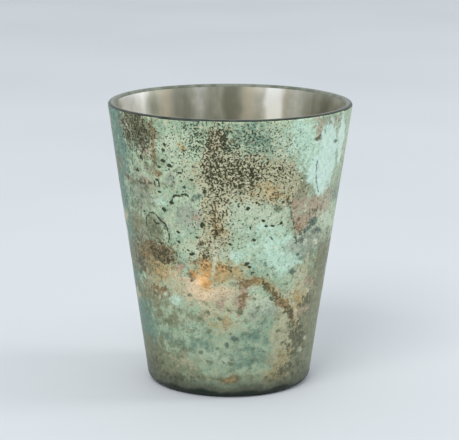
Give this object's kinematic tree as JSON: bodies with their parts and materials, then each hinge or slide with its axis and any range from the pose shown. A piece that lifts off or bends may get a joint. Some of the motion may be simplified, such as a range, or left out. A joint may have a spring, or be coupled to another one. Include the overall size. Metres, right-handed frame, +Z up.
{
  "type": "tealight holder",
  "caption": "Tapered round silvered-glass tealight holder with a verdigris patina outside, and a loose tealight in an aluminium cup on its floor.",
  "frame": {"origin": "the glass cup's axis at the plane that the foot stands on", "axes": "+Z up along the glass cup's axis; +Y away from the viewer of the pictured side; +X to that viewer's right"},
  "size_m": [0.08, 0.08, 0.093],
  "materials": {
    "mercury_glass": "satin",
    "aluminium_foil": "satin",
    "paraffin_wax": "satin",
    "tinned_steel": "satin",
    "cotton_wick": "matte"
  },
  "bodies": {
    "glass": {"glass_cup": "mercury_glass"},
    "tealight": {"tealight_cup": "aluminium_foil"},
    "candle": {"wax": "paraffin_wax", "wick_sustainer": "tinned_steel", "wick": "cotton_wick"}
  },
  "joints": [
    {"name": "tealight_lift", "type": "slide", "parent": "glass", "child": "tealight", "axis": [0, 0, 1], "range_m": [0, 0.11]},
    {"name": "candle_lift", "type": "slide", "parent": "tealight", "child": "candle", "axis": [0, 0, 1], "range_m": [0, 0.03]}
  ]
}
